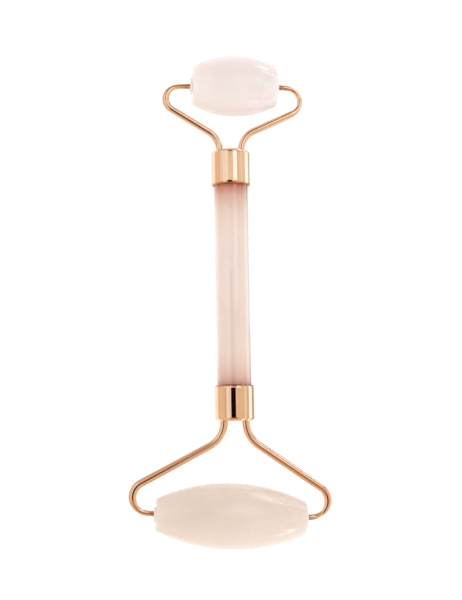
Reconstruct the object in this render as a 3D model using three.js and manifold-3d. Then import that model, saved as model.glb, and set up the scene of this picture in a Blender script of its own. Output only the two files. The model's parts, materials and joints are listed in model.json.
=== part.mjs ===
// Face roller: a round stone handle with a drawn metal ferrule on each end. Each ferrule holds one bent
// wire yoke, glued in by its hidden U, and each yoke carries a barrel-shaped stone roller that turns on
// flanged plastic bushes. The tool lies on a table on its two rollers.
//
// Millimetres. +Y runs from the large roller to the small one, +X to the right, +Z up from the table.
// The origin is on the table, under the middle of the tool's bounding box.

import * as THREE from 'three';
import { mergeVertices } from 'three/addons/utils/BufferGeometryUtils.js';
import Module from 'manifold-3d';

const wasm = await Module();
wasm.setup();

const degrees = Math.PI / 180;
const quarterTurn = Math.PI / 2;

// ---------------------------------------------------------------- driving dimensions

const handle = { radius: 5.05, shown: 58.5, chamfer: 0.4 };

const ferrule = {
  radius: 5.75,
  length: 10.55,
  wall: 0.4,
  endWall: 0.8,
  shoulder: 1.1,
  wireHoleGap: 0.15,
};

const wire = {
  tipDepth: 4.5, // how far the tip reaches into the roller
  taper: 4.5, // length over which the wire grows from its tip radius to its full radius
  tipBendRadius: 10,
  tipBend: 12 * degrees,
  legOffset: 3.2,
  legShown: 0.1, // straight stretch outside the ferrule, before the knee
  uCornerRadius: 1.8,
  uDepth: 4.0,
  slack: 0.3, // the tips sit this far towards the handle in the loose bushes
};

const plug = { depth: 6.0, gap: 0.3 };

const bush = {
  flangeRadius: 2.2,
  flangeThickness: 0.35,
  barrelRadius: 1.75,
  barrelLength: 5.0,
  bore: 1.35,
  gap: 0.2,
};

// The yokes were bent by hand, so the two arms of a yoke rise at different slopes, and the roller sits a
// little to one side of the handle's line. Each arm's thin tip is as long as it was ground. Left and right
// are as seen from above, small roller uppermost.
const smallEnd = {
  name: 'small',
  facing: 1,
  axleDistance: 19.73,
  rollerOffset: 1.48,
  axleTilt: 0,
  roller: { length: 25.35, radius: 9.05, barrelArc: 26, corner: 1.6, colour: 0xf5e6e0 },
  wireRadius: 1.1,
  tipRadius: 0.82,
  arms: {
    left: { kneeRadius: 6.7, slope: 31.5 * degrees, hookRadius: 3.7, thinLength: 9.5 },
    right: { kneeRadius: 6.6, slope: 24.7 * degrees, hookRadius: 4.1, thinLength: 14.5 },
  },
  wireSteps: 96,
};

const largeEnd = {
  name: 'large',
  facing: -1,
  axleDistance: 27.3,
  rollerOffset: -1.55,
  axleTilt: -2.75 * degrees,
  roller: { length: 43.55, radius: 9.57, barrelArc: 51, corner: 0.7, colour: 0xecd9cc },
  wireRadius: 1.2,
  tipRadius: 0.87,
  arms: {
    left: { kneeRadius: 7.7, slope: 27.3 * degrees, hookRadius: 4.45, thinLength: 9.5 },
    right: { kneeRadius: 8.5, slope: 34.8 * degrees, hookRadius: 4.6, thinLength: 9.5 },
  },
  wireSteps: 118,
};

const sides = { left: -1, right: 1 };

// An even number of facets, turned by half a facet, lays one flat facet of a stone on the table.
const stoneFacets = 40;
const roundFacets = 40;
const bushFacets = 20;
const wireFacets = 12;
const barrelBands = 15;
const cornerBands = 3;

// ---------------------------------------------------------------- materials

const roseGold = { color: 0xe3b491, metalness: 1 };
const handleStone = new THREE.MeshStandardMaterial({ color: 0xe6cfc2, roughness: 0.25, metalness: 0 });
const ferruleMetal = new THREE.MeshStandardMaterial({ ...roseGold, roughness: 0.12 });
const wireMetal = new THREE.MeshStandardMaterial({ ...roseGold, roughness: 0.16 });
const curedGlue = new THREE.MeshStandardMaterial({ color: 0xd8cfae, roughness: 0.4, metalness: 0 });
const bushPlastic = new THREE.MeshStandardMaterial({ color: 0xe9e6e0, roughness: 0.5, metalness: 0 });

const polishedQuartz = (color) => new THREE.MeshStandardMaterial({ color, roughness: 0.22, metalness: 0 });

// ---------------------------------------------------------------- meshes and solids

function toSolid(geometry) {
  const bare = geometry.clone().deleteAttribute('normal').deleteAttribute('uv');
  const merged = mergeVertices(bare);
  const vertProperties = new Float32Array(merged.attributes.position.array);
  const triVerts = new Uint32Array(merged.index.array);
  return new wasm.Manifold(new wasm.Mesh({ numProp: 3, vertProperties, triVerts }));
}

function toGeometry(solid) {
  const { vertProperties, triVerts } = solid.getMesh();
  const geometry = new THREE.BufferGeometry();
  geometry.setAttribute('position', new THREE.BufferAttribute(vertProperties, 3));
  geometry.setIndex(new THREE.BufferAttribute(triVerts, 1));
  geometry.computeVertexNormals();
  return geometry;
}

function namedMesh(name, geometry, material) {
  const mesh = new THREE.Mesh(geometry, material);
  mesh.name = name;
  return mesh;
}

const profileOf = (pairs) => pairs.map(([x, y]) => new THREE.Vector2(x, y));

// points along an arc, first and last included
function arcPoints(centreX, centreY, radius, from, to, segments) {
  return Array.from({ length: segments + 1 }, (_, step) => {
    const angle = from + ((to - from) * step) / segments;
    return new THREE.Vector2(centreX + radius * Math.cos(angle), centreY + radius * Math.sin(angle));
  });
}

// ---------------------------------------------------------------- wire paths

// A wire's path is a walk in the XY plane: straight moves and bends. A positive bend turns left.
const straight = (length) => ({ length });
const bend = (radius, angle) => ({ radius, angle });

class BendCurve extends THREE.Curve {
  constructor(start, heading, { radius, angle }) {
    super();
    this.radius = radius;
    this.sweep = angle;
    this.startAngle = heading - Math.sign(angle) * quarterTurn;
    const toStart = new THREE.Vector3(Math.cos(this.startAngle), Math.sin(this.startAngle), 0);
    this.centre = start.clone().addScaledVector(toStart, -radius);
  }

  getPoint(t, target = new THREE.Vector3()) {
    const angle = this.startAngle + this.sweep * t;
    const { x, y, z } = this.centre;
    return target.set(x + this.radius * Math.cos(angle), y + this.radius * Math.sin(angle), z);
  }
}

function walk(start, startHeading, moves) {
  const path = new THREE.CurvePath();
  let place = start;
  let heading = startHeading;
  for (const move of moves) {
    if (move.radius) {
      path.add(new BendCurve(place, heading, move));
      heading += move.angle;
    } else {
      const along = new THREE.Vector3(Math.cos(heading), Math.sin(heading), 0);
      path.add(new THREE.LineCurve3(place, place.clone().addScaledVector(along, move.length)));
    }
    place = path.curves.at(-1).getPoint(1);
  }
  return path;
}

function sweepCircle(path, radius, steps) {
  const rim = arcPoints(0, 0, radius, 0, 2 * Math.PI, wireFacets).slice(0, -1);
  return new THREE.ExtrudeGeometry(new THREE.Shape(rim), { steps, bevelEnabled: false, extrudePath: path });
}

// where a left bend that turns the heading from one angle to another ends, from its start
function bendOffset(radius, from, to) {
  const turn = new THREE.Vector2(Math.sin(to) - Math.sin(from), Math.cos(from) - Math.cos(to));
  return turn.multiplyScalar(radius);
}

// The moves of one arm, from the middle of the hidden U out to the wire's tip inside the roller. The
// straight stretch of the arm is as long as it takes to bring the tip onto the roller's axle line.
// They are worked out with the arm on the right, the ferrule's face at y = 0 and the roller at +y.
function armMoves(end, side) {
  const { kneeRadius, slope, hookRadius } = end.arms[side];
  const knee = quarterTurn - slope;
  const axleHeading = Math.PI + sides[side] * end.facing * end.axleTilt;
  const hookEnd = axleHeading - wire.tipBend;

  const withoutArm = new THREE.Vector2(
    wire.legOffset + kneeRadius * (1 - Math.cos(knee)),
    wire.legShown + kneeRadius * Math.sin(knee),
  )
    .add(bendOffset(hookRadius, slope, hookEnd))
    .add(bendOffset(wire.tipBendRadius, hookEnd, axleHeading));
  const rollerMiddle = new THREE.Vector2(sides[side] * end.rollerOffset, end.axleDistance - wire.slack);
  const axle = new THREE.Vector2(Math.cos(axleHeading), Math.sin(axleHeading));
  const arm = new THREE.Vector2(Math.cos(slope), Math.sin(slope));
  const armLength = rollerMiddle.clone().sub(withoutArm).cross(axle) / arm.cross(axle);

  const tipStart = withoutArm.addScaledVector(arm, armLength);
  const tipLength = rollerMiddle.sub(tipStart).dot(axle) - tipOffset(end);
  return [
    straight(wire.legOffset - wire.uCornerRadius),
    bend(wire.uCornerRadius, quarterTurn),
    straight(wire.uDepth - wire.uCornerRadius + wire.legShown),
    bend(kneeRadius, -knee),
    straight(armLength),
    bend(hookRadius, hookEnd - slope),
    bend(wire.tipBendRadius, wire.tipBend),
    straight(tipLength),
  ];
}

// distance from the roller's middle to the end of a wire tip
const tipOffset = (end) => end.roller.length / 2 - wire.tipDepth;

// the roller's middle in its end's own frame, where +Y points away from the handle
const rollerPlace = (end) => new THREE.Vector3(end.facing * end.rollerOffset, end.axleDistance, 0);

// which arm the swept wire starts on and which it ends on, as it runs from -X to +X in its end's own frame
const armOrder = (end) => (end.facing > 0 ? ['left', 'right'] : ['right', 'left']);

// thins the swept wire towards both tips by drawing each ring of vertices in to its own centre
function thinTips(geometry, path, end) {
  const { wireRadius, tipRadius, wireSteps: steps } = end;
  const [first, second] = armOrder(end);
  const centres = path.getSpacedPoints(steps);
  const stepLength = path.getLength() / steps;
  const { position } = geometry.attributes;
  const vertex = new THREE.Vector3();
  for (let index = 0; index < position.count; index += 1) {
    vertex.fromBufferAttribute(position, index);
    const distances = centres.map((centre) => centre.distanceToSquared(vertex));
    const ring = distances.indexOf(Math.min(...distances));
    const fromTip = Math.min(ring, steps - ring) * stepLength;
    const { thinLength } = end.arms[ring < steps / 2 ? first : second];
    const fullness = THREE.MathUtils.smoothstep(fromTip, thinLength, thinLength + wire.taper);
    const radius = THREE.MathUtils.lerp(tipRadius, wireRadius, fullness);
    vertex.sub(centres[ring]).multiplyScalar(radius / wireRadius).add(centres[ring]);
    position.setXYZ(index, vertex.x, vertex.y, vertex.z);
  }
  return geometry;
}

// ---------------------------------------------------------------- pieces

function handleRod() {
  const half = handle.shown / 2 + ferrule.length - plug.depth - plug.gap;
  const { radius, chamfer } = handle;
  const profile = profileOf([
    [0, -half],
    [radius - chamfer, -half],
    [radius, chamfer - half],
    [radius, half - chamfer],
    [radius - chamfer, half],
    [0, half],
  ]);
  return namedMesh('handle_rod', new THREE.LatheGeometry(profile, roundFacets), handleStone);
}

// a drawn cup, its closed end outward at y = 0 with a hole for each leg of the wire, its mouth rolled in
function ferruleCup(end) {
  const { radius, length, wall, endWall, shoulder } = ferrule;
  const bore = radius - wall;
  const profile = [
    ...profileOf([
      [0, -endWall],
      [bore, -endWall],
    ]),
    ...arcPoints(bore, wall - length, wall, -quarterTurn, 0, 4),
    ...arcPoints(radius - shoulder, -shoulder, shoulder, 0, quarterTurn, 5),
    new THREE.Vector2(0, 0),
  ];
  const holeRadius = end.wireRadius + ferrule.wireHoleGap;
  let cup = toSolid(new THREE.LatheGeometry(profile, roundFacets));
  for (const side of Object.values(sides)) {
    const hole = new THREE.CylinderGeometry(holeRadius, holeRadius, 3 * endWall, 2 * wireFacets);
    hole.translate(side * wire.legOffset, -endWall / 2, 0);
    cup = cup.subtract(toSolid(hole));
  }
  return namedMesh(`${end.name}_end_ferrule`, toGeometry(cup), ferruleMetal);
}

// cured glue inside the ferrule, with the channel that the wire's U fills
function gluePlug(end) {
  const radius = ferrule.radius - ferrule.wall - plug.gap;
  const top = -ferrule.endWall - plug.gap;
  const body = new THREE.CylinderGeometry(radius, radius, top + plug.depth, roundFacets);
  body.translate(0, (top - plug.depth) / 2, 0);
  const leg = straight(wire.uDepth - wire.uCornerRadius);
  const corner = bend(wire.uCornerRadius, quarterTurn);
  const base = straight(2 * (wire.legOffset - wire.uCornerRadius));
  const legTop = new THREE.Vector3(-wire.legOffset, 0, 0);
  const hiddenU = walk(legTop, -quarterTurn, [leg, corner, base, corner, leg]);
  const channelSteps = 18;
  const channel = toSolid(sweepCircle(hiddenU, end.wireRadius + plug.gap, channelSteps));
  return namedMesh(`${end.name}_end_glue_plug`, toGeometry(toSolid(body).subtract(channel)), curedGlue);
}

// one wire from tip to tip through the ferrule, starting at the tip on the -X side of the end's own frame
function yokeWire(end) {
  const [first, second] = armOrder(end);
  const moves = [...armMoves(end, first).reverse(), ...armMoves(end, second)];
  const towardsTip = new THREE.Vector3(-Math.cos(end.axleTilt), -Math.sin(end.axleTilt), 0);
  const start = rollerPlace(end).addScaledVector(towardsTip, tipOffset(end));
  start.y -= wire.slack;
  const path = walk(start, Math.PI + end.axleTilt, moves);
  const swept = sweepCircle(path, end.wireRadius, end.wireSteps);
  return namedMesh(`${end.name}_yoke_wire`, thinTips(swept, path, end), wireMetal);
}

// a barrel with its axis along +X, rounded end edges and a bore from end to end
function rollerStone(end) {
  const { length, radius, barrelArc, corner } = end.roller;
  const half = length / 2;
  const arcCentre = radius - barrelArc;
  const cornerY = half - corner;
  const cornerX = arcCentre + Math.sqrt((barrelArc - corner) ** 2 - cornerY ** 2);
  const edgeAngle = Math.atan2(cornerY, cornerX - arcCentre);
  const bore = bush.barrelRadius + bush.gap;
  const rounded = arcPoints(cornerX, cornerY, corner, edgeAngle, quarterTurn, cornerBands);
  const profile = [
    new THREE.Vector2(bore, -half),
    ...rounded.map(({ x, y }) => new THREE.Vector2(x, -y)).reverse(),
    ...arcPoints(arcCentre, 0, barrelArc, -edgeAngle, edgeAngle, barrelBands).slice(1, -1),
    ...rounded,
    new THREE.Vector2(bore, half),
    new THREE.Vector2(bore, -half),
  ];
  const geometry = new THREE.LatheGeometry(profile, stoneFacets, Math.PI / stoneFacets);
  const stone = namedMesh(`${end.name}_roller_stone`, geometry, polishedQuartz(end.roller.colour));
  stone.rotation.z = -quarterTurn;
  return stone;
}

// a flanged sleeve pushed into one end of the roller, flange outward
function rollerBush(end, side) {
  const { bore, barrelRadius, flangeRadius, flangeThickness, barrelLength, gap } = bush;
  const face = gap + flangeThickness;
  const profile = profileOf([
    [bore, -barrelLength],
    [barrelRadius, -barrelLength],
    [barrelRadius, gap],
    [flangeRadius, gap],
    [flangeRadius, face],
    [bore, face],
    [bore, -barrelLength],
  ]);
  const sleeve = namedMesh(
    `${end.name}_roller_bush_${side}`,
    new THREE.LatheGeometry(profile, bushFacets, Math.PI / bushFacets),
    bushPlastic,
  );
  const outward = sides[side] * end.facing;
  sleeve.rotation.z = -outward * quarterTurn;
  sleeve.position.x = (outward * end.roller.length) / 2;
  return sleeve;
}

// ---------------------------------------------------------------- assembly

function roller(end) {
  const group = new THREE.Group();
  group.add(rollerStone(end), rollerBush(end, 'left'), rollerBush(end, 'right'));
  group.position.copy(rollerPlace(end));
  group.rotation.z = end.axleTilt;
  return group;
}

function toolEnd(end) {
  const group = new THREE.Group();
  group.add(ferruleCup(end), gluePlug(end), yokeWire(end), roller(end));
  group.position.y = end.facing * (handle.shown / 2 + ferrule.length);
  group.rotation.z = end.facing > 0 ? 0 : Math.PI;
  return group;
}

// The larger roller holds its end higher, so the tool slopes down a little to the small roller.
const flatOfFacet = Math.cos(Math.PI / stoneFacets);
const axleSpacing = handle.shown + 2 * ferrule.length + smallEnd.axleDistance + largeEnd.axleDistance;
const heightDifference = (largeEnd.roller.radius - smallEnd.roller.radius) * flatOfFacet;

const tool = new THREE.Group();
tool.add(handleRod(), toolEnd(smallEnd), toolEnd(largeEnd));
tool.rotation.x = -Math.asin(heightDifference / axleSpacing);

const bounds = new THREE.Box3().setFromObject(tool, true);
const middle = bounds.getCenter(new THREE.Vector3());
tool.position.set(-middle.x, -middle.y, -bounds.min.z);

const faceRoller = new THREE.Group();
faceRoller.add(tool);

export default faceRoller;
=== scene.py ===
"""Looks of the face roller: rose quartz stones and handle in a rose gold plated frame.

Metres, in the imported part's frame: +Y runs from the large roller to the small one, +X to the right, +Z up
from the table the tool lies on. Every round piece is made again here with smooth surfaces, to the sizes of
the CAD part, and stands for its faceted CAD node. Two things differ from the CAD part on purpose: the
rolled mouths of the ferrules, and the bore of the bushes, which the wire tips cut into (see BUSH).
"""

import json
import math

import bmesh
import bpy
import numpy as np
from mathutils import Matrix, Vector


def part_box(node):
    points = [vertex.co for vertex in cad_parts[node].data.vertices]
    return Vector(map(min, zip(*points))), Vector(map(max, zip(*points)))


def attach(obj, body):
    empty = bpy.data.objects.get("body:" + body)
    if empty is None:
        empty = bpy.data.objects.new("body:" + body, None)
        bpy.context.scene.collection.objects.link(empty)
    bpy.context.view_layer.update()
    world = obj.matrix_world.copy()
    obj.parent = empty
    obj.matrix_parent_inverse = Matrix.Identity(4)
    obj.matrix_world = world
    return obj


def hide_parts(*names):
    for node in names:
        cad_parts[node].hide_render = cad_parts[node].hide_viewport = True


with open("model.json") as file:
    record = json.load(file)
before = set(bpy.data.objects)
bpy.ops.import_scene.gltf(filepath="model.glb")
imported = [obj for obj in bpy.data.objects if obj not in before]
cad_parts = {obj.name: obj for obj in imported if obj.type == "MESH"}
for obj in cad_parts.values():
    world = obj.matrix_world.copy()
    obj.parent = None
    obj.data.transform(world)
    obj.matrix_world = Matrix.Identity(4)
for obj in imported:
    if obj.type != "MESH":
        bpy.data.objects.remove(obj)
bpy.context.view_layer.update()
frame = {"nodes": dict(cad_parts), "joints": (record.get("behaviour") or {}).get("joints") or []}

MM = 0.001

# ---------------------------------------------------------------- sizes, in millimetres

HANDLE = {"radius": 5.05, "half": 33.5, "edge": 0.4}
FERRULE = {
    "radius": 5.75,
    "length": 10.55,
    "wall": 0.4,
    "end_wall": 0.8,
    "shoulder": 1.1,
    "hole_gap": 0.15,
}
# the mouth is rolled in by two bends, a wide one and a tight one: radius, the angle reached, and steps
LIP = ((3.1, math.radians(13), 6), (0.6, math.radians(85), 8))
FACE_TO_MIDDLE = 39.8
MOUTH_TO_MIDDLE = FACE_TO_MIDDLE - FERRULE["length"]
LEG_OFFSET, LEG_SHOWN = 3.2, 0.1
U_CORNER, U_DEPTH = 1.8, 4.0
TIP_DEPTH, TAPER, SLACK = 4.5, 4.5, 0.3
TIP_BEND_RADIUS, TIP_BEND = 10.0, math.radians(12)
# the CAD bushes have a bore of 1.35, which clears the wire tips that sit SLACK off the axle; with this
# smaller one no gap shows around the wire, but the tips cut 0.16 to 0.21 into the bushes
BUSH = {"flange": 2.2, "flange_thick": 0.35, "barrel": 1.75, "length": 5.0, "bore": 0.93, "gap": 0.2}
BUSH_SEAT, BUSH_EDGE = 0.005, 0.12
BORE_CHAMFER = 0.15
# the end face of a wire is this much thinner, over this length
TIP_EDGE, TIP_EDGE_LENGTH = 0.25, 0.15

ENDS = {
    "small": {
        "facing": 1,
        "axle": 19.73,
        "offset": 1.48,
        "tilt": 0.0,
        "length": 25.35,
        "radius": 9.05,
        "arc": 26.0,
        "corner": 1.6,
        "wire": 1.1,
        "tip": 0.82,
        "arms": {"left": (6.7, 31.5, 3.7, 9.5), "right": (6.6, 24.7, 4.1, 14.5)},
    },
    "large": {
        "facing": -1,
        "axle": 27.3,
        "offset": -1.55,
        "tilt": math.radians(-2.75),
        "length": 43.55,
        "radius": 9.57,
        "arc": 51.0,
        "corner": 0.7,
        "wire": 1.2,
        "tip": 0.87,
        "arms": {"left": (7.7, 27.3, 4.45, 9.5), "right": (8.5, 34.8, 4.6, 9.5)},
    },
}
SIDES = {"left": -1, "right": 1}
# a ring this close beside a rounding keeps the straight surface next to it straight in the mirror
SUPPORT, FACE_SUPPORT = 0.06, 0.08
# the ferrule's inner corner, between its end wall and its bore
CUP_CORNER = 0.1

# how many sides round pieces have
ROD_SIDES, STONE_SIDES, BUSH_SIDES, HOLE_SIDES, WIRE_SIDES = 128, 144, 64, 40, 28
# an edge is sharp where its faces meet at more than this many degrees
SHARP, WIRE_SHARP = 35, 50

# the CAD stones have this many facets, and the smooth stones and wires stay inside the faceted ones; a bore
# keeps its size, as does a stone's end face up to this far from it
STONE_FACETS = 40
STONE_SHRINK, WIRE_SHRINK = 0.02, 0.03
FACE_KEPT = 0.2

# ---------------------------------------------------------------- places, from the joints and the nodes

JOINTS = {joint["child"]: joint for joint in frame["joints"]}


def tool_frame():
    """The frame at the handle's middle, which slopes, as the tool lies on two stones of different sizes."""
    small = Vector(JOINTS["small_roller"]["pos_m"])
    large = Vector(JOINTS["large_roller"]["pos_m"])
    slope = math.atan2(small.z - large.z, small.y - large.y)
    low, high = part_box("handle_rod")
    return Matrix.Translation((low + high) / 2) @ Matrix.Rotation(slope, 4, "X")


TOOL = tool_frame()


def end_frame(end):
    """Origin on the ferrule's closed face, +Y away from the handle."""
    turn = 0 if end["facing"] > 0 else math.pi
    shift = Matrix.Translation((0, end["facing"] * FACE_TO_MIDDLE * MM, 0))
    return TOOL @ shift @ Matrix.Rotation(turn, 4, "Z")


def roller_frame(end):
    """Origin in the roller's middle, +X along its axle."""
    place = Matrix.Translation((end["facing"] * end["offset"] * MM, end["axle"] * MM, 0))
    return end_frame(end) @ place @ Matrix.Rotation(end["tilt"], 4, "Z")


# ---------------------------------------------------------------- meshes

ALONG_X = Matrix.Rotation(-math.pi / 2, 4, "Z")


def new_object(name, vertices, faces, matrix, sharp_angle=SHARP):
    mesh = bpy.data.meshes.new(name)
    mesh.from_pydata([tuple(v) for v in vertices], [], faces)
    mesh.transform(Matrix.Scale(MM, 4))
    mesh.transform(matrix)
    finish_mesh(mesh, sharp_angle)
    obj = bpy.data.objects.new(name, mesh)
    bpy.context.scene.collection.objects.link(obj)
    return obj


def finish_mesh(mesh, sharp_angle):
    bm = bmesh.new()
    bm.from_mesh(mesh)
    bmesh.ops.recalc_face_normals(bm, faces=bm.faces)
    bm.to_mesh(mesh)
    bm.free()
    mesh.polygons.foreach_set("use_smooth", [True] * len(mesh.polygons))
    mesh.set_sharp_from_angle(angle=math.radians(sharp_angle))
    mesh.update()


def arc(centre_r, centre_a, radius, start, stop, count):
    """Points (r, a) of an arc in a profile, both ends included; angles from the +r side, in radians."""
    angles = np.linspace(start, stop, count + 1)
    return [(centre_r + radius * math.cos(t), centre_a + radius * math.sin(t)) for t in angles]


def revolve(profile, segments):
    """Turns a profile of (r, a) points about the +Y axis. A point with r = 0 becomes a pole."""
    vertices, faces, rings = [], [], []
    for r, a in profile:
        if r == 0:
            rings.append([len(vertices)] * segments)
            vertices.append((0, a, 0))
            continue
        rings.append(list(range(len(vertices), len(vertices) + segments)))
        for k in range(segments):
            t = 2 * math.pi * k / segments
            vertices.append((r * math.sin(t), a, r * math.cos(t)))
    for ring, following in zip(rings, rings[1:]):
        for k in range(segments):
            j = (k + 1) % segments
            corners = [ring[k], ring[j], following[j], following[k]]
            unique = list(dict.fromkeys(corners))
            if len(unique) > 2:
                faces.append(unique)
    return vertices, faces


def closed(profile):
    return profile + profile[:1]


def weld(obj):
    """Joins the doubled ring where a closed profile meets itself."""
    bm = bmesh.new()
    bm.from_mesh(obj.data)
    bmesh.ops.remove_doubles(bm, verts=bm.verts, dist=1e-8)
    bm.to_mesh(obj.data)
    bm.free()
    finish_mesh(obj.data, SHARP)
    return obj


def cut(obj, cutters):
    """Takes the cutters out of obj, for good."""
    for cutter in cutters:
        modifier = obj.modifiers.new("cut", "BOOLEAN")
        modifier.operation = "DIFFERENCE"
        modifier.solver = "EXACT"
        modifier.object = cutter
    graph = bpy.context.evaluated_depsgraph_get()
    mesh = bpy.data.meshes.new_from_object(obj.evaluated_get(graph), depsgraph=graph)
    obj.modifiers.clear()
    obj.data = mesh
    for cutter in cutters:
        bpy.data.objects.remove(cutter)
    finish_mesh(obj.data, SHARP)
    return obj


# ---------------------------------------------------------------- the wire's path


class Walk:
    """A path in the XY plane, walked by straight moves and bends, as points a short step apart."""

    STEP = 0.12

    def __init__(self, start, heading):
        self.place = Vector(start)
        self.heading = heading
        self.points = [self.place.copy()]
        self.headings = [heading]
        self.lengths = [0.0]

    def straight(self, length):
        count = max(1, round(length / (4 * self.STEP)))
        along = Vector((math.cos(self.heading), math.sin(self.heading)))
        for _ in range(count):
            self.place = self.place + along * (length / count)
            self._note(length / count)

    def bend(self, radius, angle):
        count = max(4, round(abs(angle) * radius / self.STEP))
        step = angle / count
        chord = 2 * radius * math.sin(abs(step) / 2)
        for _ in range(count):
            middle = self.heading + step / 2
            self.place = self.place + Vector((math.cos(middle), math.sin(middle))) * chord
            self.heading += step
            self._note(radius * abs(step))

    def _note(self, length):
        self.points.append(self.place.copy())
        self.headings.append(self.heading)
        self.lengths.append(self.lengths[-1] + length)


def bend_offset(radius, start, stop):
    return Vector((math.sin(stop) - math.sin(start), math.cos(start) - math.cos(stop))) * radius


def arm_moves(end, side):
    """One arm, from the middle of the hidden U to the tip: the arm on the right, the roller at +y."""
    knee_radius, slope, hook_radius, _ = end["arms"][side]
    slope = math.radians(slope)
    knee = math.pi / 2 - slope
    axle_heading = math.pi + SIDES[side] * end["facing"] * end["tilt"]
    hook_end = axle_heading - TIP_BEND
    without_arm = (
        Vector(
            (
                LEG_OFFSET + knee_radius * (1 - math.cos(knee)),
                LEG_SHOWN + knee_radius * math.sin(knee),
            )
        )
        + bend_offset(hook_radius, slope, hook_end)
        + bend_offset(TIP_BEND_RADIUS, hook_end, axle_heading)
    )
    middle = Vector((SIDES[side] * end["offset"], end["axle"] - SLACK))
    axle = Vector((math.cos(axle_heading), math.sin(axle_heading)))
    arm = Vector((math.cos(slope), math.sin(slope)))
    to_middle = middle - without_arm
    arm_length = to_middle.cross(axle) / arm.cross(axle)
    tip_start = without_arm + arm * arm_length
    tip_length = (middle - tip_start).dot(axle) - (end["length"] / 2 - TIP_DEPTH)
    return [
        ("straight", LEG_OFFSET - U_CORNER),
        ("bend", U_CORNER, math.pi / 2),
        ("straight", U_DEPTH - U_CORNER + LEG_SHOWN),
        ("bend", knee_radius, -knee),
        ("straight", arm_length),
        ("bend", hook_radius, hook_end - slope),
        ("bend", TIP_BEND_RADIUS, TIP_BEND),
        ("straight", tip_length),
    ]


def wire_walk(end):
    """From the tip on the -X side of the end's own frame to the other one."""
    first, second = ("left", "right") if end["facing"] > 0 else ("right", "left")
    tip = end["length"] / 2 - TIP_DEPTH
    away = math.pi + end["tilt"]
    start = Vector((end["facing"] * end["offset"], end["axle"] - SLACK))
    start += Vector((math.cos(away), math.sin(away))) * tip
    path = Walk(start, away)
    for move in arm_moves(end, first)[::-1] + arm_moves(end, second):
        getattr(path, move[0])(*move[1:])
    return path, (end["arms"][first][3], end["arms"][second][3])


def smoothstep(x, low, high):
    t = min(max((x - low) / (high - low), 0), 1)
    return t * t * (3 - 2 * t)


def tip_edge(ring, inward):
    """A wire's end face and the ring behind it, from the path's own end ring.

    Inward is 1 at the start of the path and -1 at its end.
    """
    point, heading, radius = ring
    along = Vector((math.cos(heading), math.sin(heading))) * inward
    return [(point, heading, radius - TIP_EDGE), (point + along * TIP_EDGE_LENGTH, heading, radius)]


def sweep_wire(name, end):
    path, thin = wire_walk(end)
    total = path.lengths[-1]
    rings, along = [], []
    for point, heading, length in zip(path.points, path.headings, path.lengths):
        from_tip = min(length, total - length)
        ground = thin[0] if length < total / 2 else thin[1]
        full = smoothstep(from_tip, ground, ground + TAPER)
        rings.append((point, heading, end["tip"] + (end["wire"] - end["tip"]) * full - WIRE_SHRINK))
        along.append(from_tip)
    rings = tip_edge(rings[0], 1) + rings[1:-1] + tip_edge(rings[-1], -1)[::-1]
    along = [0.0] + along + [0.0]
    vertices, faces, values = [], [], []
    for (point, heading, radius), distance in zip(rings, along):
        across = Vector((-math.sin(heading), math.cos(heading)))
        for k in range(WIRE_SIDES):
            t = 2 * math.pi * k / WIRE_SIDES
            shift = across * (radius * math.cos(t))
            vertices.append((point.x + shift.x, point.y + shift.y, radius * math.sin(t)))
            values.append(distance)
    for ring in range(len(rings) - 1):
        for k in range(WIRE_SIDES):
            j = (k + 1) % WIRE_SIDES
            a, b = ring * WIRE_SIDES, (ring + 1) * WIRE_SIDES
            faces.append((a + k, a + j, b + j, b + k))
    faces.append(list(range(WIRE_SIDES)))
    faces.append(list(range(len(vertices) - WIRE_SIDES, len(vertices))))
    obj = new_object(name, vertices, faces, end_frame(end), WIRE_SHARP)
    attribute = obj.data.attributes.new("from_tip", "FLOAT", "POINT")
    attribute.data.foreach_set("value", values)
    return obj


# ---------------------------------------------------------------- pieces


def handle_rod():
    radius, half, edge = HANDLE["radius"], HANDLE["half"], HANDLE["edge"]
    rounded = arc(radius - edge, half - edge, edge, 0, math.pi / 2, 6)
    profile = (
        [(0, -half)]
        + [(r, -a) for r, a in rounded[::-1]]
        + [(radius, a) for a in np.linspace(edge - half, half - edge, 24)[1:-1]]
        + rounded
        + [(0, half)]
    )
    return new_object("handle_stone", *revolve(profile, ROD_SIDES), TOOL)


def rolled_lip(radius, mouth):
    """Profile of the rolled-in mouth, from its inner edge at a = mouth outwards and up the side."""
    tilt, points = 0.0, [(radius, 0.0)]
    for bend, reached, steps in LIP:
        for following in np.linspace(tilt, reached, steps + 1)[1:]:
            r, a = points[-1]
            r -= bend * (math.cos(tilt) - math.cos(following))
            a -= bend * (math.sin(following) - math.sin(tilt))
            points.append((r, a))
            tilt = following
    end = points[-1][1]
    return [(r, a - end + mouth) for r, a in points[::-1]]


def ferrule_cup(name, end):
    radius, wall = FERRULE["radius"], FERRULE["wall"]
    length, end_wall = FERRULE["length"], FERRULE["end_wall"]
    shoulder = FERRULE["shoulder"]
    bore = radius - wall
    lip = rolled_lip(radius, -length)
    profile = (
        [(0, -end_wall), (bore - CUP_CORNER, -end_wall), (bore, -end_wall - CUP_CORNER), (bore, lip[-1][1])]
        + lip
        + [(radius, lip[-1][1] + SUPPORT), (radius, -length * 0.5), (radius, -shoulder - SUPPORT)]
        + arc(radius - shoulder, -shoulder, shoulder, 0, math.pi / 2, 14)
        + [(radius - shoulder - FACE_SUPPORT, 0), (0, 0)]
    )
    cup = new_object(name, *revolve(profile, ROD_SIDES), end_frame(end))
    hole = end["wire"] + FERRULE["hole_gap"]
    cutters = []
    for side in SIDES.values():
        rod = [(0, -2 * end_wall), (hole, -2 * end_wall), (hole, end_wall), (0, end_wall)]
        place = end_frame(end) @ Matrix.Translation((side * LEG_OFFSET * MM, 0, 0))
        cutters.append(new_object("cutter", *revolve(rod, HOLE_SIDES), place))
    return cut(cup, cutters)


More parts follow.
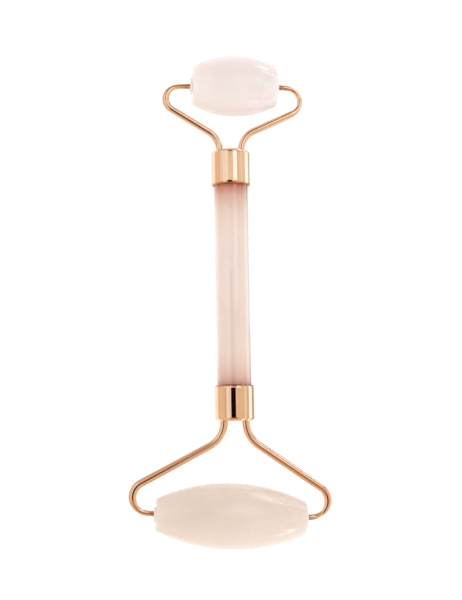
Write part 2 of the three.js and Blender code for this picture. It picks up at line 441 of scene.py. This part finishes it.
def roller_stone(name, end):
    """A barrel with rounded end edges, bored from end to end."""
    # inside the facets of the CAD stone, whose flats are nearer the axle than its corners
    inside = math.cos(math.pi / STONE_FACETS)
    half, corner = end["length"] / 2, end["corner"]
    centre = end["radius"] - end["arc"]
    corner_a = half - corner
    corner_r = centre + math.sqrt((end["arc"] - corner) ** 2 - corner_a**2)
    edge_angle = math.atan2(corner_a, corner_r - centre)
    bore = BUSH["barrel"] + BUSH["gap"]
    rounded = arc(corner_r, corner_a, corner, edge_angle, math.pi / 2, 12)
    side = arc(centre, 0, end["arc"], -edge_angle, edge_angle, 72)[1:-1]
    mouth = [(bore + BORE_CHAMFER, half), (bore, half - BORE_CHAMFER)]
    face = [(corner_r * part, half) for part in (0.75, 0.5)]
    profile = closed(
        [(bore, a) for a in np.linspace(BORE_CHAMFER - half, half - BORE_CHAMFER, 8)][1:-1]
        + mouth[::-1]
        + face[::-1]
        + rounded[::-1]
        + side[::-1]
        + [(r, -a) for r, a in rounded]
        + [(r, -a) for r, a in face]
        + [(r, -a) for r, a in mouth]
    )
    profile = [(r * inside - STONE_SHRINK if r > bore + FACE_KEPT else r, a) for r, a in profile]
    return weld(new_object(name, *revolve(profile, STONE_SIDES), roller_frame(end) @ ALONG_X))


def roller_bush(name, end, side):
    outward = SIDES[side] * end["facing"]
    gap, flange, bore, barrel = BUSH["gap"], BUSH["flange"], BUSH["bore"], BUSH["barrel"]
    face, seat, edge = gap + BUSH["flange_thick"], BUSH_SEAT, BUSH_EDGE
    profile = closed(
        [(bore, -BUSH["length"]), (barrel - edge, -BUSH["length"]), (barrel, -BUSH["length"] + edge)]
        + [(barrel, seat), (flange, seat)]
        + arc(flange - edge, face - edge, edge, 0, math.pi / 2, 4)
        + arc(bore + edge, face - edge, edge, math.pi / 2, math.pi, 4)
    )
    place = Matrix.Translation((outward * end["length"] / 2 * MM, 0, 0))
    turned = place @ Matrix.Rotation(-outward * math.pi / 2, 4, "Z")
    return weld(new_object(name, *revolve(profile, BUSH_SIDES), roller_frame(end) @ turned))


# ---------------------------------------------------------------- materials


def srgb(red, green, blue):
    """A linear colour from 0-255 values as seen."""

    def linear(value):
        value /= 255
        return value / 12.92 if value <= 0.04045 else ((value + 0.055) / 1.055) ** 2.4

    return (linear(red), linear(green), linear(blue), 1.0)


# a Mix node's colour sockets, which share their names with its sockets for other kinds of value
MIX_A, MIX_B, MIX_RESULT = 6, 7, 2


class Nodes:
    """A material's node tree, with short calls for the nodes that the materials share."""

    def __init__(self, name):
        self.material = bpy.data.materials.new(name)
        self.material.use_nodes = True
        self.tree = self.material.node_tree
        self.shader = self.tree.nodes["Principled BSDF"]
        self.where = self.add("ShaderNodeTexCoord").outputs["Object"]

    def add(self, kind, **settings):
        node = self.tree.nodes.new(kind)
        for key, value in settings.items():
            setattr(node, key, value)
        return node

    def link(self, output, socket):
        self.tree.links.new(output, socket)

    def stretched(self, scale, rotation=(0, 0, 0)):
        mapping = self.add("ShaderNodeMapping")
        mapping.inputs["Scale"].default_value = scale
        mapping.inputs["Rotation"].default_value = rotation
        self.link(self.where, mapping.inputs["Vector"])
        return mapping.outputs["Vector"]

    def noise(self, scale, detail=3.0, roughness=0.5, distortion=0.0, vector=None):
        node = self.add("ShaderNodeTexNoise")
        node.inputs["Scale"].default_value = scale
        node.inputs["Detail"].default_value = detail
        node.inputs["Roughness"].default_value = roughness
        node.inputs["Distortion"].default_value = distortion
        self.link(vector or self.where, node.inputs["Vector"])
        return node.outputs["Fac"]

    def ramp(self, value, low, high, out_low=0.0, out_high=1.0):
        node = self.add("ShaderNodeMapRange", interpolation_type="SMOOTHSTEP")
        node.inputs["From Min"].default_value = low
        node.inputs["From Max"].default_value = high
        node.inputs["To Min"].default_value = out_low
        node.inputs["To Max"].default_value = out_high
        self.link(value, node.inputs["Value"])
        return node.outputs["Result"]

    def times(self, first, second):
        node = self.add("ShaderNodeMath", operation="MULTIPLY")
        self.link(first, node.inputs[0])
        if isinstance(second, (int, float)):
            node.inputs[1].default_value = second
        else:
            self.link(second, node.inputs[1])
        return node.outputs[0]

    def mix(self, factor, first, second):
        node = self.add("ShaderNodeMix", data_type="RGBA")
        self.link(factor, node.inputs["Factor"])
        for value, socket in ((first, node.inputs[MIX_A]), (second, node.inputs[MIX_B])):
            if isinstance(value, tuple):
                socket.default_value = value
            else:
                self.link(value, socket)
        return node.outputs[MIX_RESULT]

    def tinted(self, colour, tint):
        node = self.add("ShaderNodeMix", data_type="RGBA", blend_type="MULTIPLY")
        node.inputs["Factor"].default_value = 1
        self.link(colour, node.inputs[MIX_A])
        node.inputs[MIX_B].default_value = tint
        return node.outputs[MIX_RESULT]

    def along(self):
        """How far a point is from the handle's middle, towards the small roller."""
        parts = self.add("ShaderNodeSeparateXYZ")
        self.link(self.where, parts.inputs[0])
        offset = self.add("ShaderNodeMath", operation="SUBTRACT")
        self.link(parts.outputs["Y"], offset.inputs[0])
        offset.inputs[1].default_value = TOOL.translation.y
        return offset.outputs[0]

    def below_mouth(self):
        """How far a point is from the mouth of the nearer ferrule, along the handle, towards its middle."""
        size = self.add("ShaderNodeMath", operation="ABSOLUTE")
        self.link(self.along(), size.inputs[0])
        left = self.add("ShaderNodeMath", operation="SUBTRACT")
        left.inputs[0].default_value = MOUTH_TO_MIDDLE * MM
        self.link(size.outputs[0], left.inputs[1])
        return left.outputs[0]

    def bump(self, height, strength, distance):
        node = self.add("ShaderNodeBump")
        node.inputs["Strength"].default_value = strength
        node.inputs["Distance"].default_value = distance
        self.link(height, node.inputs["Height"])
        self.link(node.outputs["Normal"], self.shader.inputs["Normal"])

    def colour(self, output):
        self.link(output, self.shader.inputs["Base Color"])

    def roughness(self, output):
        self.link(output, self.shader.inputs["Roughness"])

    def set(self, **values):
        for key, value in values.items():
            self.shader.inputs[key.replace("_", " ")].default_value = value


# painted glow and shade on the handle towards the ferrules, for the cups' colour glowing through the stone
# and the shade
# under their mouths: the tints at the mouths, the length over which each fades, and their strength at the
# large roller's end and the small one's
PAINTED_CUP_GLOW_SHADE, PAINTED_CUP_GLOW_SHADE_REACH = (0.7, 0.1, 0.0, 1), 0.0036
PAINTED_WARM_GLOW, PAINTED_WARM_GLOW_REACH = (0.92, 0.91, 0.79, 1), 0.008
PAINTED_GLOW_STRENGTH = (0.6, 1.0)
# how far up from the mouth a ferrule's plate carries painted shade, for the dim light in its rolled lip:
# where it starts, and where it is full
PAINTED_LIP_SHADE_SPAN = (0.75 * MM, 0.1875 * MM)
# the same for the darker brown near a wire's tip, in millimetres from the tip, and how much of the plate it
# covers
TIP_BROWN_SPAN, TIP_BROWN_COVER = (9.0, 5.0), 0.85


def quartz(name, deep, clear, milky, veins, flecks, cloud_scale=70.0):
    """Polished rose quartz: soft milky clouds, faint healed cracks and small pale flecks under its gloss."""
    n = Nodes(name)
    clouds = n.ramp(n.noise(cloud_scale, 3, 0.5, 0.6), 0.32, 0.7)
    colour = n.mix(clouds, deep, clear)
    # healed cracks: narrow bands where a warped noise crosses its middle, shown only in some regions
    crack_noise = n.noise(cloud_scale * 0.7, 2.0, 0.5, 1.2, n.stretched((1.0, 1.7, 1.3), (0.4, 0.2, 0.7)))
    near = n.times(n.ramp(crack_noise, 0.48, 0.5), n.ramp(crack_noise, 0.52, 0.5))
    region = n.ramp(n.noise(cloud_scale * 0.6, 2, 0.5), 0.5, 0.64)
    colour = n.mix(n.times(n.times(near, region), veins), colour, milky)
    # flecks: small cells of a Voronoi pattern, only those of some regions
    cells = n.add("ShaderNodeTexVoronoi")
    cells.inputs["Scale"].default_value = 430
    n.link(n.where, cells.inputs["Vector"])
    fleck = n.ramp(cells.outputs["Distance"], 0.42, 0.1)
    sparse = n.ramp(n.noise(170, 2, 0.5), 0.52, 0.68)
    colour = n.mix(n.times(n.times(fleck, sparse), flecks), colour, milky)
    n.roughness(n.ramp(n.noise(240, 3, 0.6), 0.3, 0.7, 0.08, 0.16))
    n.bump(n.noise(900, 2, 0.5), 0.04, 0.00004)
    n.set(IOR=1.544, Subsurface_Weight=1.0, Subsurface_Scale=0.005)
    n.shader.inputs["Subsurface Radius"].default_value = (1.0, 0.75, 0.65)
    return n, colour


def roller_quartz(name, *tones, **settings):
    n, colour = quartz(name, *tones, **settings)
    n.colour(colour)
    return n.material


def handle_quartz(name, *tones, **settings):
    """As the rollers, with painted light towards the plated cups: a painted glow of their inside through the
    stone, and painted shade under their mouths.
    """
    n, colour = quartz(name, *tones, **settings)
    strength = n.ramp(n.along(), -MM, MM, *PAINTED_GLOW_STRENGTH)
    # painted glow and shade: the colour is tinted towards each ferrule mouth, fading with distance from it
    for tint, reach in ((PAINTED_CUP_GLOW_SHADE, PAINTED_CUP_GLOW_SHADE_REACH), (PAINTED_WARM_GLOW, PAINTED_WARM_GLOW_REACH)):
        fading = n.add("ShaderNodeMath", operation="EXPONENT")
        n.link(n.times(n.below_mouth(), -1 / reach), fading.inputs[0])
        colour = n.mix(n.times(fading.outputs[0], strength), colour, n.tinted(colour, tint))
    n.colour(colour)
    n.set(Coat_Weight=1.0, Coat_IOR=1.6, Coat_Roughness=0.04)
    return n.material


def plated(name, bright, deep, grain, tip_brown=None, lip=None):
    """Polished rose gold plate on brass: fine drawing marks along grain, slight shifts of tone and gloss."""
    n = Nodes(name)
    tone = n.ramp(n.noise(140, 3, 0.5), 0.3, 0.7)
    colour = n.mix(tone, bright, deep)
    # darker brown blotches on the plate near a wire's tips
    if tip_brown:
        attribute = n.add("ShaderNodeAttribute", attribute_name="from_tip")
        near_tip = n.ramp(attribute.outputs["Fac"], *TIP_BROWN_SPAN)
        blotch = n.ramp(n.noise(900, 3, 0.6, 0.5, n.stretched((0.35, 1, 1))), 0.4, 0.65)
        colour = n.mix(n.times(n.times(near_tip, blotch), TIP_BROWN_COVER), colour, tip_brown)
    # painted shade inside the rolled mouth of a ferrule
    if lip:
        inner = n.ramp(n.below_mouth(), -PAINTED_LIP_SHADE_SPAN[0], -PAINTED_LIP_SHADE_SPAN[1])
        colour = n.mix(inner, colour, lip)
    n.colour(colour)
    marks = n.noise(1.0, 4, 0.6, 0.0, n.stretched(grain))
    n.roughness(n.ramp(marks, 0.3, 0.75, 0.03, 0.08))
    n.bump(marks, 0.05, 0.00003)
    n.set(Metallic=1.0)
    return n.material


def nylon(name):
    n = Nodes(name)
    n.colour(n.mix(n.noise(600, 3), srgb(244, 233, 224), srgb(238, 226, 216)))
    n.roughness(n.ramp(n.noise(1200, 2), 0.3, 0.7, 0.38, 0.55))
    n.bump(n.noise(2500, 2), 0.15, 0.00003)
    # the emission is a painted glow: the bushes light up a little of their own, which lifts the shade in the
    # crease against the stone
    n.set(IOR=1.53, Emission_Color=srgb(250, 238, 228), Emission_Strength=0.12)
    return n.material


def epoxy(name):
    n = Nodes(name)
    n.colour(n.mix(n.noise(300, 3), srgb(216, 206, 172), srgb(198, 184, 140)))
    n.roughness(n.ramp(n.noise(500, 3), 0.3, 0.7, 0.25, 0.45))
    n.bump(n.noise(700, 3), 0.4, 0.0001)
    n.set(IOR=1.5)
    return n.material


# each quartz has a deep tone and a clear one, mixed by its clouds, and a milky one for veins and flecks
HANDLE_TONES = (srgb(235, 219, 210), srgb(240, 224, 215), srgb(248, 238, 232))
SMALL_TONES = (srgb(243, 230, 225), srgb(248, 235, 231), srgb(254, 249, 246))
LARGE_TONES = (srgb(233, 217, 204), srgb(238, 223, 212), srgb(248, 241, 232))
FERRULE_TONES = (srgb(250, 217, 187), srgb(247, 212, 181))
WIRE_TONES = (srgb(247, 210, 181), srgb(243, 203, 172))
# and the darker brown near a wire's tips
# painted shade for a ferrule's rolled lip
PAINTED_LIP_SHADE, TIP_BROWN = srgb(190, 118, 76), srgb(140, 74, 44)

MATERIALS = {
    "handle_quartz": handle_quartz("handle_quartz", *HANDLE_TONES, veins=0.0, flecks=0.1),
    "small_roller_quartz": roller_quartz("small_roller_quartz", *SMALL_TONES, veins=0.6, flecks=0.3),
    "large_roller_quartz": roller_quartz(
        "large_roller_quartz", *LARGE_TONES, cloud_scale=40.0, veins=0.2, flecks=0.15
    ),
    "ferrule_plate": plated("ferrule_plate", *FERRULE_TONES, (900, 60, 900), lip=PAINTED_LIP_SHADE),
    "wire_plate": plated("wire_plate", *WIRE_TONES, (500, 500, 500), tip_brown=TIP_BROWN),
    "bush_plastic": nylon("bush_plastic"),
    "cured_glue": epoxy("cured_glue"),
}


def dress(obj, slot):
    obj.data.materials.clear()
    obj.data.materials.append(MATERIALS[slot])


def install(obj, slot, body, *nodes):
    dress(obj, slot)
    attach(obj, body)
    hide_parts(*nodes)


install(handle_rod(), "handle_quartz", "frame", "handle_rod")
for label, spec in ENDS.items():
    cup = ferrule_cup(f"{label}_ferrule_cup", spec)
    install(cup, "ferrule_plate", "frame", f"{label}_end_ferrule")
    yoke = sweep_wire(f"{label}_yoke", spec)
    install(yoke, "wire_plate", "frame", f"{label}_yoke_wire")
    stone = roller_stone(f"{label}_barrel_stone", spec)
    install(stone, f"{label}_roller_quartz", f"{label}_roller", f"{label}_roller_stone")
    for side in SIDES:
        bush = roller_bush(f"{label}_bush_{side}", spec, side)
        install(bush, "bush_plastic", f"{label}_roller", f"{label}_roller_bush_{side}")
    dress(frame["nodes"][f"{label}_end_glue_plug"], "cured_glue")

# ---------------------------------------------------------------- table and lights

BLACK, WHITE = (0, 0, 0, 1), (1, 1, 1, 1)
WORLD_BRIGHTNESS = 0.8
# a white table lit from below as well, as for a product photograph, so that its shadows all but go
TABLE = {"half": 6.0, "top": -0.0002, "glow": 0.78, "colour": (0.35, 0.35, 0.35, 1)}
# soft light from all sides, aimed at the tool: place, size and brightness
SOFTBOXES = {
    "left_box": ((-0.45, 0.1, 0.45), (0.4, 0.8), 0.44),
    "right_box": ((0.45, 0.15, 0.45), (0.4, 0.8), 0.36),
    "front_box": ((0.1, -0.6, 0.2), (0.8, 0.3), 0.95),
    "back_box": ((0.0, 0.6, 0.2), (0.8, 0.3), 0.3),
}


def staged(name, vertices, faces, colour, glow, diffuse):
    """A piece of the studio: the table, or a card that only reflections see."""
    mesh = bpy.data.meshes.new(name)
    mesh.from_pydata(vertices, [], faces)
    obj = bpy.data.objects.new(name, mesh)
    bpy.context.scene.collection.objects.link(obj)
    n = Nodes(name)
    n.set(Base_Color=diffuse, Roughness=0.9, Specular_IOR_Level=0.0)
    n.set(Emission_Color=colour, Emission_Strength=glow)
    obj.data.materials.append(n.material)
    return obj


def flat(x_low, x_high, y_low, y_high, z):
    corners = ((x_low, y_low), (x_high, y_low), (x_high, y_high), (x_low, y_high))
    return [(x, y, z) for x, y in corners], [(0, 1, 2, 3)]


def softbox(name, spot, size, radiance):
    """A soft light that the camera and the mirroring metal don't see."""
    data = bpy.data.lights.new(name, "AREA")
    data.shape = "RECTANGLE"
    data.size, data.size_y = size
    data.energy = radiance * math.pi * size[0] * size[1]
    obj = bpy.data.objects.new(name, data)
    bpy.context.scene.collection.objects.link(obj)
    obj.location = spot
    obj.rotation_euler = (-Vector(spot)).to_track_quat("-Z", "Y").to_euler()
    obj.visible_camera = False
    obj.visible_glossy = False


half = TABLE["half"]
staged("table", *flat(-half, half, -half, half, TABLE["top"]), WHITE, TABLE["glow"], TABLE["colour"])

world = bpy.data.worlds.new("studio")
bpy.context.scene.world = world
world.use_nodes = True
background = world.node_tree.nodes["Background"]
background.inputs["Color"].default_value = WHITE
background.inputs["Strength"].default_value = WORLD_BRIGHTNESS

for label, settings in SOFTBOXES.items():
    softbox(label, *settings)

# ---------------------------------------------------------------- what the polished metal and stone mirror

ROOM = 0.62
# a warm room, the dark camera above, windows and white panels, about the handle's middle, each a strip of a
# vault: its radius, two angles from straight up (to the right positive), two places along the tool, and its
# colour; a strip of smaller radius is in front
VAULT = {
    "room": (ROOM, -90, 90, -ROOM, ROOM, (0.8, 0.65, 0.5)),
    "right_room": (0.6, 38, 90, 0.06, 0.2, (0.84, 0.73, 0.62)),
    "far_right_room": (0.6, 38, 90, 0.2, 0.61, (0.58, 0.48, 0.4)),
    "left_edge": (0.54, -63, -56, -0.25, 0.045, (0.6, 0.44, 0.33)),
    "left_corner": (0.55, -72, -56, 0.045, 0.6, (0.9, 0.8, 0.7)),
    "left_panel": (0.52, -56, -36, -0.25, 0.4, (0.95, 0.93, 0.95)),
    "left_panel_seam": (0.51, -36, -31, -0.25, 0.05, (0.74, 0.68, 0.68)),
    "left_panel_inner": (0.52, -36, -22, -0.25, 0.4, (1.0, 1.0, 1.03)),
    "camera": (0.42, -26.8, 1.2, -0.085, 0.015, (0.008, 0.0, 0.0)),
    "camera_far": (0.42, -26.8, 1.2, 0.015, 0.055, (0.07, 0.03, 0.015)),
    "hands": (0.43, -30, 14, -0.18, -0.08, (0.16, 0.045, 0.02)),
    "body": (0.45, -40, 10, -0.6, -0.2, (0.52, 0.32, 0.19)),
    "arm": (0.47, -21.5, 7, -0.2, 0.14, (0.84, 0.76, 0.7)),
    "beam": (0.46, -21.5, 7, 0.14, 0.32, (0.46, 0.25, 0.15)),
    "doorway": (0.48, -22, 8, 0.36, 0.6, (0.12, 0.05, 0.03)),
    "window": (0.5, 8, 32, 0.05, 0.4, (1.12, 1.36, 1.56)),
    "window_edge": (0.5, 33, 38, 0.05, 0.6, (0.7, 0.62, 0.55)),
    "right_wall": (0.52, 54, 66, -0.3, 0.2, (0.94, 0.85, 0.78)),
    "right_gap": (0.5, 70, 84, -0.3, 0.045, (0.74, 0.6, 0.49)),
    "low_window": (0.5, 86, 90, -0.3, 0.2, (1.15, 1.38, 1.55)),
}
# what the metal sees in place of the table, just above it: x from and to, y from and to, and colour
APRON_HEIGHT = 0.0001
APRONS = {
    "left_table": (-ROOM, -0.034, 0.0, ROOM, (0.8, 0.65, 0.5)),
    "left_table_front": (-ROOM, -0.026, -ROOM, 0.0, (0.8, 0.65, 0.5)),
    "right_table": (0.026, 0.1, -0.012, 0.055, (1.15, 1.38, 1.55)),
    "right_table_near": (0.034, 0.1, -0.05, -0.012, (1.15, 1.38, 1.55)),
    "right_table_far": (0.1, 0.5, -0.06, 0.14, (1.3, 1.5, 1.65)),
    "right_shade": (0.015, 0.026, -0.012, 0.055, (0.64, 0.56, 0.5)),
    "right_shade_near": (0.012, 0.034, -0.05, -0.012, (0.6, 0.5, 0.43)),
    "back_table": (-0.034, ROOM, 0.14, ROOM, (0.85, 0.74, 0.64)),
    "front_table": (-0.026, ROOM, -ROOM, -0.14, (0.85, 0.74, 0.64)),
}
# where along the tool, and colour
END_WALLS = {"front_wall": (-ROOM, (0.76, 0.62, 0.5)), "back_wall": (ROOM, (0.6, 0.5, 0.42))}
# upright lit panels that show as streaks and spots on the stones: two lower corners, two upper corners
# above them, and brightness
PANELS = {
    "small_far_panel": ((0.205, 0.48), (0.30, 0.42), (-0.012, -0.012), (0.08, 0.08), 4.0),
    "small_near_panel": ((0.19, -0.32), (0.225, -0.30), (0.05, 0.055), (0.115, 0.12), 4.0),
    "large_far_panel": ((0.17, 0.29), (0.33, 0.19), (0.105, 0.03), (0.13, 0.055), 5.0),
    "large_near_panel": ((0.175, -0.42), (0.245, -0.39), (0.045, 0.03), (0.085, 0.065), 4.0),
}
# the vault's strips and the end walls' rims have an edge about every so many degrees
STRIP_STEP, WALL_STEP = 4, 10


def on_vault(radius, degrees, y):
    turn = math.radians(degrees)
    return radius * math.sin(turn), y, radius * math.cos(turn)


def vault_strip(radius, start, stop, y_low, y_high):
    count = max(1, round((stop - start) / STRIP_STEP))
    turns = [start + (stop - start) * k / count for k in range(count + 1)]
    vertices = [on_vault(radius, turn, y) for y in (y_low, y_high) for turn in turns]
    first = count + 1
    return vertices, [(k, k + 1, first + k + 1, first + k) for k in range(count)]


def end_wall(y):
    rim = [on_vault(ROOM, turn, y) for turn in range(-90, 91, WALL_STEP)]
    return rim, [tuple(range(len(rim)))]


def upright(start, stop, low, high):
    """A panel over the line from start to stop, given its lower and upper heights at both."""
    corners = [(*start, low[0]), (*stop, low[1]), (*stop, high[1]), (*start, high[0])]
    return corners, [(0, 1, 2, 3)]


def mirrored(name, shape, colour, glow=1.0):
    """A glowing card about the handle's middle that only mirrored rays see."""
    card = staged(name, *shape, (*colour, 1), glow, BLACK)
    card.location = TOOL.translation
    card.visible_camera = False
    card.visible_diffuse = False
    card.visible_shadow = False


for label, (*extent, colour) in VAULT.items():
    mirrored(label, vault_strip(*extent), colour)
for label, (*extent, colour) in APRONS.items():
    mirrored(label, flat(*extent, APRON_HEIGHT - TOOL.translation.z), colour)
for label, (y, colour) in END_WALLS.items():
    mirrored(label, end_wall(y), colour)
for label, (*extent, glow) in PANELS.items():
    mirrored(label, upright(*extent), (1, 1, 1), glow)

# ---------------------------------------------------------------- camera

# where the photograph was taken from and aimed at, in millimetres from the handle's middle, and which way is
# up in it
CAMERA_PLACE, CAMERA_AIM = (-45.12, -38.69, 375.0), (-0.55, -4.42, 0.0)
CAMERA_UP = (0.0164, 0.99987, 0)
SENSOR_WIDTH, LENS = 36, 77.65

low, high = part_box("handle_rod")
handle_middle = (low + high) / 2
camera_place = handle_middle + Vector(CAMERA_PLACE) * MM
camera_aim = handle_middle + Vector(CAMERA_AIM) * MM
camera_data = bpy.data.cameras.new("camera")
camera_data.sensor_width = SENSOR_WIDTH
camera_data.lens = LENS
camera = bpy.data.objects.new("camera", camera_data)
bpy.context.scene.collection.objects.link(camera)
back = (camera_place - camera_aim).normalized()
right = Vector(CAMERA_UP).cross(back).normalized()
up = back.cross(right)
camera.matrix_world = Matrix.Translation(camera_place) @ Matrix((right, up, back)).transposed().to_4x4()
bpy.context.scene.camera = camera

bpy.context.scene.view_settings.view_transform = "Standard"

bpy.context.view_layer.update()
